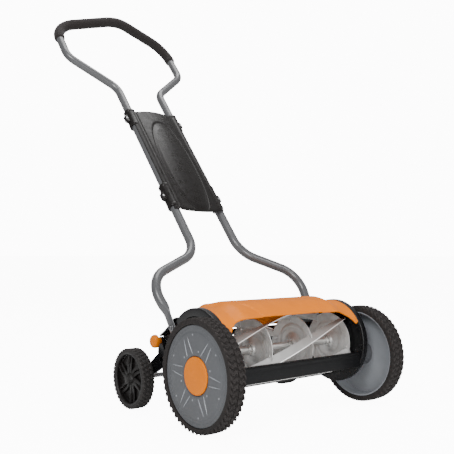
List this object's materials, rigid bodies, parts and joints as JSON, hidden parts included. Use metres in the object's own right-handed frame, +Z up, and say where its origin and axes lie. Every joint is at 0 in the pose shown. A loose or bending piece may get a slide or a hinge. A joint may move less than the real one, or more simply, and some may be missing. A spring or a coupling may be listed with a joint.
{
  "type": "reel mower",
  "caption": "Push reel mower: lugged drive wheels turn a helical blade reel by chain, with a chute, height knob, rear wheels and a looped handle.",
  "frame": {"origin": "middle of the overall box at ground level, under the wheels", "axes": "+Z up, +X to the left as seen by the person pushing, -Y the way the mower goes"},
  "size_m": [0.581, 1.0208, 1.2091],
  "materials": {
    "black_paint": "gloss black enamel",
    "black_plastic": "satin moulded black",
    "orange_plastic": "semi-gloss moulded orange",
    "grey_plastic": "satin moulded grey",
    "grey_paint": "satin grey enamel",
    "satin_steel": "satin steel",
    "ground_steel": "ground cutting steel",
    "dark_steel": "oiled steel",
    "tyre_rubber": "lugged rubber",
    "grip_foam": "closed-cell foam"
  },
  "bodies": {
    "chassis": {"side_plate_left": "black_paint", "side_plate_right": "black_paint", "reel_bearing_left": "dark_steel", "reel_bearing_right": "dark_steel", "front_bar": "black_paint", "bed_knife": "ground_steel", "knife_bar": "black_paint", "tie_rod": "black_paint", "handle_bolt_left": "dark_steel", "handle_bolt_right": "dark_steel"},
    "left_carrier": {"wheel_carrier_left": "black_plastic", "chain_left": "dark_steel"},
    "right_carrier": {"wheel_carrier_right": "black_plastic", "chain_right": "dark_steel"},
    "left_wheel": {"tyre_left": "tyre_rubber", "wheel_left": "grey_plastic", "hub_cap_left": "orange_plastic", "ratchet_ring_left": "dark_steel"},
    "right_wheel": {"tyre_right": "tyre_rubber", "wheel_right": "grey_plastic", "hub_cap_right": "orange_plastic", "ratchet_ring_right": "dark_steel"},
    "left_drive_axle": {"sprocket_axle_left": "dark_steel", "pawl_plate_left": "dark_steel"},
    "right_drive_axle": {"sprocket_axle_right": "dark_steel", "pawl_plate_right": "dark_steel"},
    "reel": {"reel_shaft": "satin_steel", "reel_disc_1": "satin_steel", "reel_disc_2": "satin_steel", "reel_disc_3": "satin_steel", "reel_disc_4": "satin_steel", "reel_blade_1": "ground_steel", "reel_blade_2": "ground_steel", "reel_blade_3": "ground_steel", "reel_blade_4": "ground_steel", "reel_blade_5": "ground_steel", "reel_sprocket_left": "dark_steel", "reel_sprocket_right": "dark_steel"},
    "rear_carriage": {"carriage_pivot_tube": "black_paint", "rear_axle": "dark_steel", "rear_arm_left": "black_paint", "rear_arm_right": "black_paint", "rear_wheel_cap_left": "black_plastic", "rear_wheel_cap_right": "black_plastic"},
    "left_link": {"height_link_left": "dark_steel"},
    "right_link": {"height_link_right": "dark_steel"},
    "left_rear_wheel": {"rear_wheel_left": "black_plastic"},
    "right_rear_wheel": {"rear_wheel_right": "black_plastic"},
    "knob": {"height_knob": "orange_plastic"},
    "chute_shell": {"chute": "orange_plastic"},
    "handle": {"lower_tube_left": "grey_paint", "lower_tube_right": "grey_paint", "upper_loop": "grey_paint", "foam_grip": "grip_foam", "handle_panel": "black_plastic", "collar_cap_lower_left": "black_plastic", "collar_cap_upper_left": "black_plastic", "collar_cap_lower_right": "black_plastic", "collar_cap_upper_right": "black_plastic"}
  },
  "joints": [
    {"name": "height_adjust", "type": "hinge", "parent": "chassis", "child": "rear_carriage", "pos_m": [0, -0.17141, 0.132], "axis": [1, 0, 0], "range_deg": [-16, 26]},
    {"name": "left_carrier_swing", "type": "hinge", "parent": "chassis", "child": "left_carrier", "pos_m": [0, -0.32141, 0.159], "axis": [1, 0, 0], "range_deg": [-37, 23]},
    {"name": "right_carrier_swing", "type": "hinge", "parent": "chassis", "child": "right_carrier", "pos_m": [0, -0.32141, 0.159], "axis": [1, 0, 0], "range_deg": [-37, 23]},
    {"name": "left_link_swing", "type": "hinge", "parent": "rear_carriage", "child": "left_link", "pos_m": [0, -0.20054, 0.13916], "axis": [1, 0, 0], "range_deg": [-39, 24]},
    {"name": "right_link_swing", "type": "hinge", "parent": "rear_carriage", "child": "right_link", "pos_m": [0, -0.20054, 0.13916], "axis": [1, 0, 0], "range_deg": [-39, 24]},
    {"name": "left_wheel_roll", "type": "hinge", "parent": "left_carrier", "child": "left_wheel", "pos_m": [0.269, -0.38341, 0.127], "axis": [1, 0, 0], "continuous": true},
    {"name": "right_wheel_roll", "type": "hinge", "parent": "right_carrier", "child": "right_wheel", "pos_m": [-0.269, -0.38341, 0.127], "axis": [1, 0, 0], "continuous": true},
    {"name": "left_drive_axle_turn", "type": "hinge", "parent": "left_carrier", "child": "left_drive_axle", "pos_m": [0.255, -0.38341, 0.127], "axis": [1, 0, 0], "continuous": true},
    {"name": "right_drive_axle_turn", "type": "hinge", "parent": "right_carrier", "child": "right_drive_axle", "pos_m": [-0.255, -0.38341, 0.127], "axis": [1, 0, 0], "continuous": true},
    {"name": "reel_spin", "type": "hinge", "parent": "chassis", "child": "reel", "pos_m": [0, -0.32141, 0.159], "axis": [1, 0, 0], "continuous": true},
    {"name": "left_rear_wheel_roll", "type": "hinge", "parent": "rear_carriage", "child": "left_rear_wheel", "pos_m": [0.262, -0.08441, 0.076], "axis": [1, 0, 0], "continuous": true},
    {"name": "right_rear_wheel_roll", "type": "hinge", "parent": "rear_carriage", "child": "right_rear_wheel", "pos_m": [-0.262, -0.08441, 0.076], "axis": [1, 0, 0], "continuous": true},
    {"name": "knob_pull", "type": "slide", "parent": "rear_carriage", "child": "knob", "axis": [-1, 0, 0], "range_m": [0, 0.007], "stiffness_N_per_m": 800, "springref_m": -0.005},
    {"name": "chute_tilt", "type": "hinge", "parent": "chassis", "child": "chute_shell", "pos_m": [0, -0.32141, 0.159], "axis": [1, 0, 0], "range_deg": [-25, 30]},
    {"name": "handle_tilt", "type": "hinge", "parent": "chassis", "child": "handle", "pos_m": [0, -0.23141, 0.216], "axis": [1, 0, 0], "range_deg": [0, 50]}
  ],
  "couplings": [
    {"joint": "left_carrier_swing", "follows": "height_adjust", "ratio": -1.415},
    {"joint": "right_carrier_swing", "follows": "height_adjust", "ratio": -1.415},
    {"joint": "left_link_swing", "follows": "height_adjust", "ratio": -1.486},
    {"joint": "right_link_swing", "follows": "height_adjust", "ratio": -1.486},
    {"joint": "left_drive_axle_turn", "follows": "left_wheel_roll", "ratio": 1},
    {"joint": "right_drive_axle_turn", "follows": "left_wheel_roll", "ratio": 1},
    {"joint": "reel_spin", "follows": "left_wheel_roll", "ratio": 3}
  ]
}
